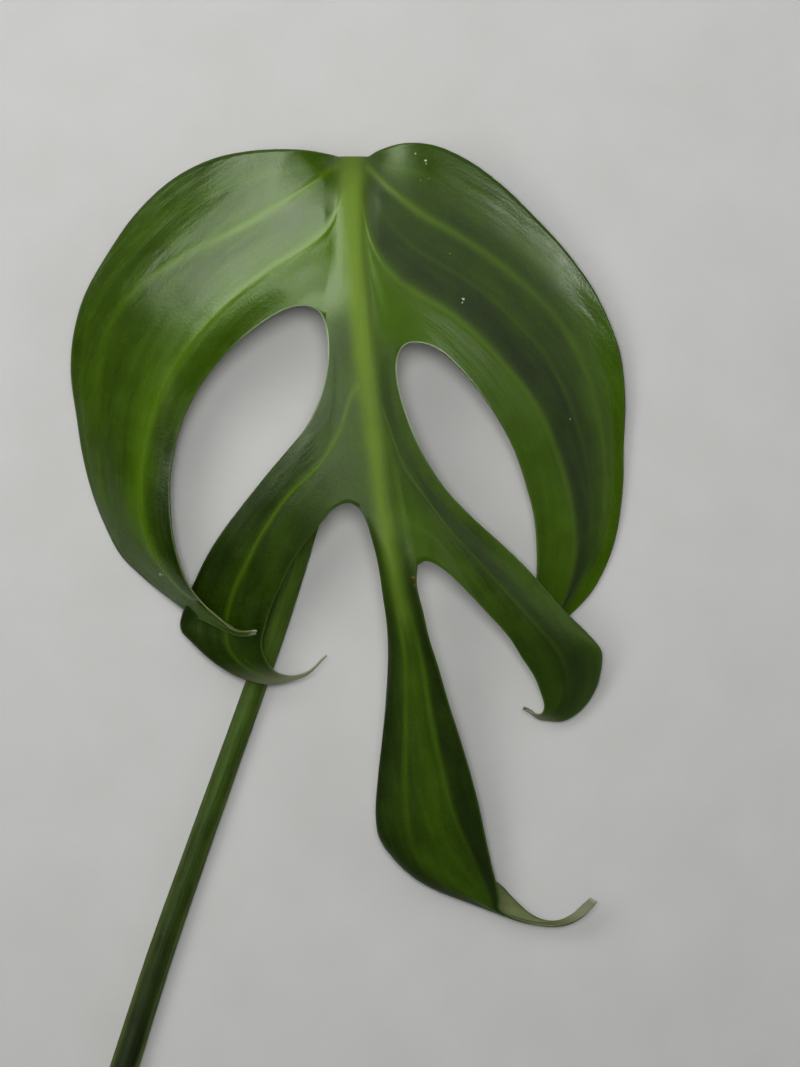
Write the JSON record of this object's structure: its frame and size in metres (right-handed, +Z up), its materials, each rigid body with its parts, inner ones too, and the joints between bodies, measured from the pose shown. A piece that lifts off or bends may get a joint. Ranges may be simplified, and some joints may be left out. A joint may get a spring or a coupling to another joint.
{
  "type": "monstera cutting",
  "caption": "Split, glossy monstera leaf with curled lobe tips on its cut stalk, lying face up, with the stalk bent back under the blade.",
  "frame": {"origin": "on the resting surface, under the middle of the whole piece", "axes": "+Y from the cut end of the stalk to the base of the leaf, +Z up from the surface to the glossy side"},
  "size_m": [0.1114, 0.1981, 0.0287],
  "materials": {
    "leaf_blade": "deep green glossy leaf skin with paler yellow-green veins and a pale dull underside",
    "petiole": "dull olive green stalk, slightly paler along its edges"
  },
  "bodies": {
    "root": {"leaf_blade": "leaf_blade", "petiole": "petiole"}
  },
  "joints": []
}
